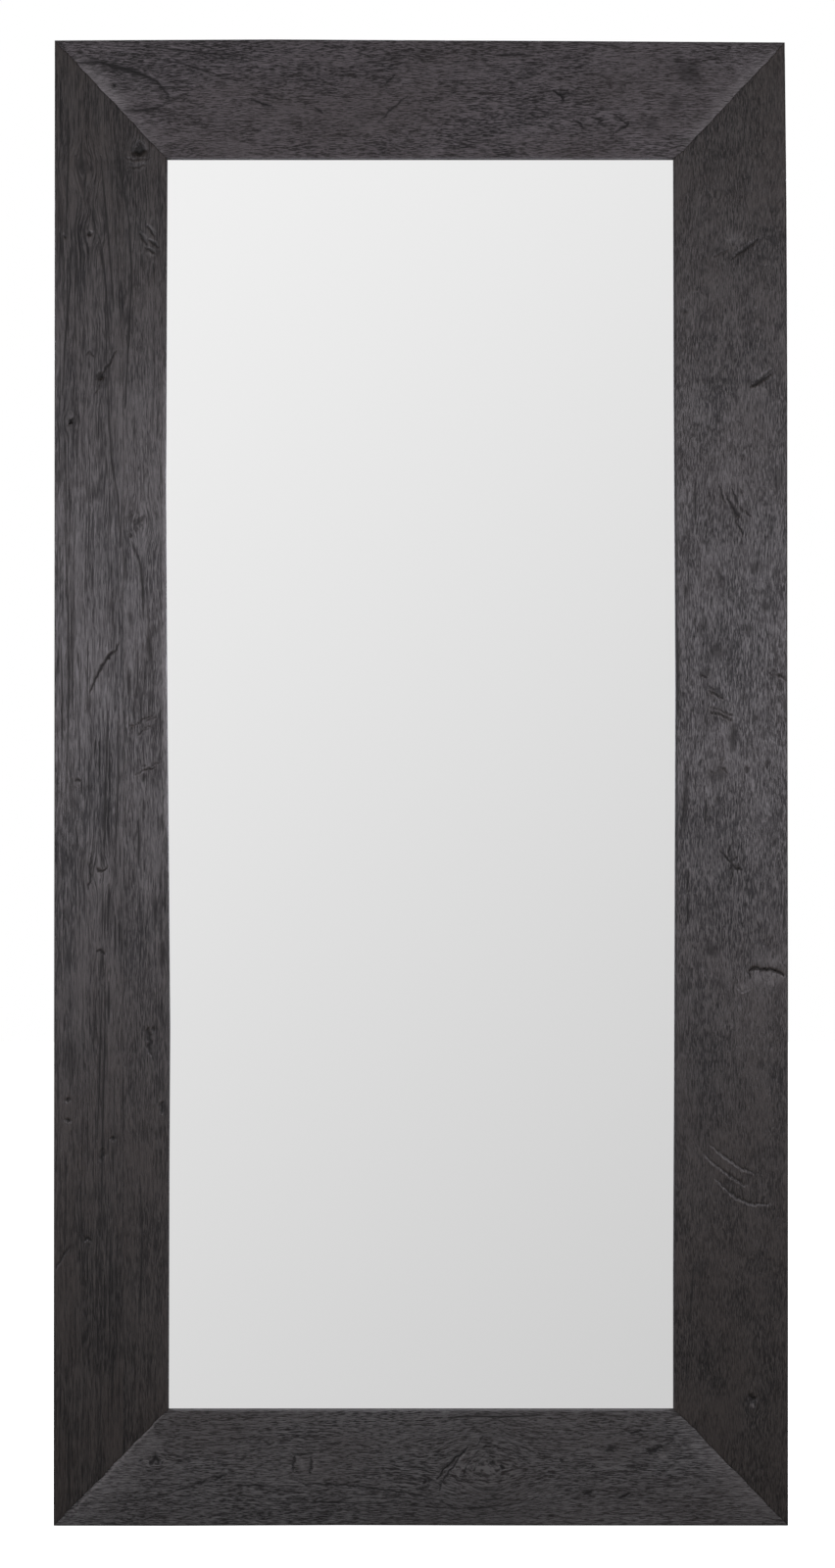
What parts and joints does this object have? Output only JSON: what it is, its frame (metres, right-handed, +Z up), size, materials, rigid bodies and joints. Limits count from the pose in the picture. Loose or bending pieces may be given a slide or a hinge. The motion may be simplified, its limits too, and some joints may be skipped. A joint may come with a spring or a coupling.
{
  "type": "wall mirror",
  "caption": "Tall rectangular mirror in a wide mitred frame of black-stained wood boards, with a screwed back panel and swinging D-ring wall hangers.",
  "frame": {"origin": "middle of the bottom edge, on the face it stands on, half way through the boards' thickness", "axes": "+Z up the mirror, +X to the right seen from the front, +Y from the glass towards the wall"},
  "size_m": [0.9, 0.049, 1.824],
  "materials": {
    "stained_wood": "black-stained hardwood, hand-worked, satin wax",
    "silvered_glass": "polished float glass, silvered on its back",
    "tongue_wood": "planed beech",
    "backing_board": "raw fibreboard, smooth",
    "zinc_steel": "zinc-plated steel",
    "rubber": "matt moulded rubber"
  },
  "bodies": {
    "frame": {"top_rail": "stained_wood", "bottom_rail": "stained_wood", "left_stile_outer_strip": "stained_wood", "left_stile_inner_strip": "stained_wood", "right_stile": "stained_wood", "mirror_glass": "silvered_glass", "setting_blocks": "rubber", "backing_panel": "backing_board", "backing_screws": "zinc_steel", "corner_plate_screws": "zinc_steel", "hanger_screws": "zinc_steel", "bumper_screws": "zinc_steel", "wall_bumpers": "rubber", "bottom_left_tongue": "tongue_wood", "bottom_left_corner_plate": "zinc_steel", "bottom_right_tongue": "tongue_wood", "bottom_right_corner_plate": "zinc_steel", "top_right_tongue": "tongue_wood", "top_right_corner_plate": "zinc_steel", "top_left_tongue": "tongue_wood", "top_left_corner_plate": "zinc_steel", "left_hanger_strap": "zinc_steel", "right_hanger_strap": "zinc_steel"},
    "left_ring": {"left_hanger_ring": "zinc_steel"},
    "right_ring": {"right_hanger_ring": "zinc_steel"}
  },
  "joints": [
    {"name": "left_ring_swing", "type": "hinge", "parent": "frame", "child": "left_ring", "pos_m": [-0.38075, 0.0238, 1.452], "axis": [1, 0, 0], "range_deg": [0, 175]},
    {"name": "right_ring_swing", "type": "hinge", "parent": "frame", "child": "right_ring", "pos_m": [0.38125, 0.0238, 1.452], "axis": [1, 0, 0], "range_deg": [0, 175]}
  ]
}
